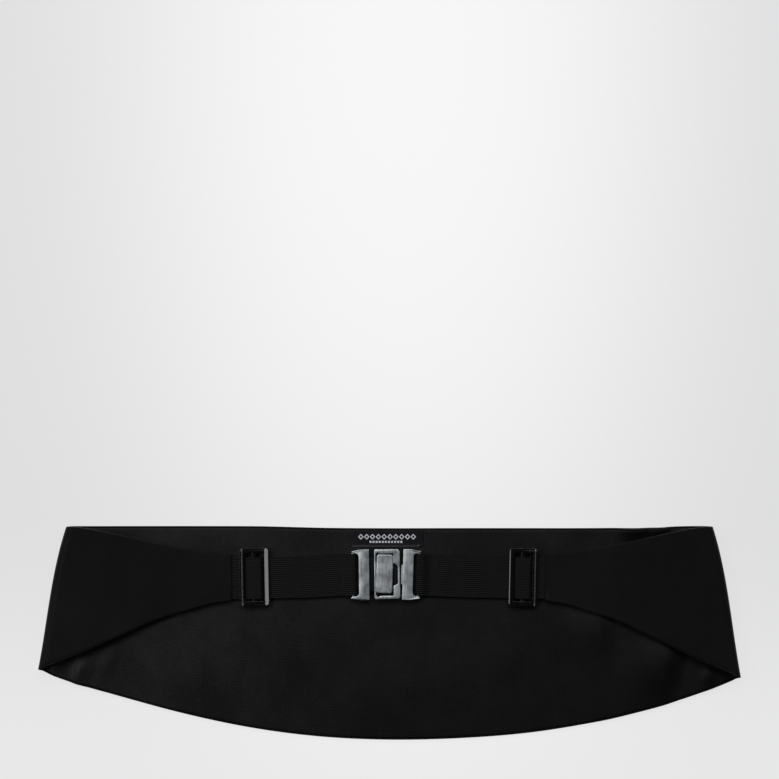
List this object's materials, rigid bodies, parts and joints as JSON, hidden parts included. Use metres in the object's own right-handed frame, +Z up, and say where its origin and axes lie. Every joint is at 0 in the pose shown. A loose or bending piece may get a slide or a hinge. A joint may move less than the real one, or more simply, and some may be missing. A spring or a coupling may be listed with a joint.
{
  "type": "cummerbund",
  "caption": "Plain satin cummerbund lying face down, fastened: lined front panel, folded-over wings, elastic strap with sliders and a metal hook clasp.",
  "frame": {"origin": "on the table, under the middle of the outline seen from above", "axes": "+X along the waist to the right as pictured, +Y up the body to the upper edge, +Z up from the table"},
  "size_m": [0.4204, 0.1281, 0.014],
  "materials": {
    "satin": "black polyester satin",
    "lining": "black plain-woven lining",
    "label": "woven black label with a folded edge",
    "elastic": "ribbed black woven elastic",
    "enamel": "gloss black enamel",
    "gunmetal": "satin gunmetal plating"
  },
  "bodies": {
    "root": {"outer_satin": "satin", "lining": "lining", "label": "label", "strap_left": "elastic", "strap_right": "elastic", "slider_left": "enamel", "slider_right": "enamel", "clasp_keeper": "gunmetal", "clasp_hook": "gunmetal"}
  },
  "joints": []
}
